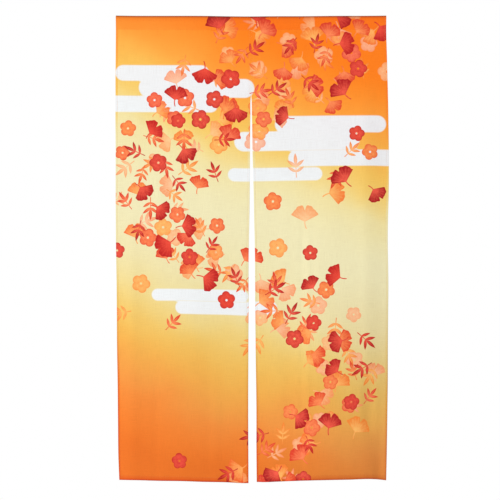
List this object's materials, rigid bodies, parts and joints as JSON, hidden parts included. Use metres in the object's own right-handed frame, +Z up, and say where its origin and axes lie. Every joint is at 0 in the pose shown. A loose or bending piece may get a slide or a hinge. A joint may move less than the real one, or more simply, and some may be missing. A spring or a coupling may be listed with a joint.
{
  "type": "noren curtain",
  "caption": "Split doorway curtain of printed cloth with a stitched rod pocket, seamed together at the top of its slit and hanging in soft folds.",
  "frame": {"origin": "middle of the top edge, where the rod pocket goes over the rod", "axes": "+X to the right seen from the printed face, +Z up, the printed face towards -Y"},
  "size_m": [0.8796, 0.0288, 1.5035],
  "materials": {
    "printed_cloth": "matte"
  },
  "bodies": {
    "root": {"heading": "printed_cloth", "panel_left": "printed_cloth", "panel_right": "printed_cloth"}
  },
  "joints": []
}
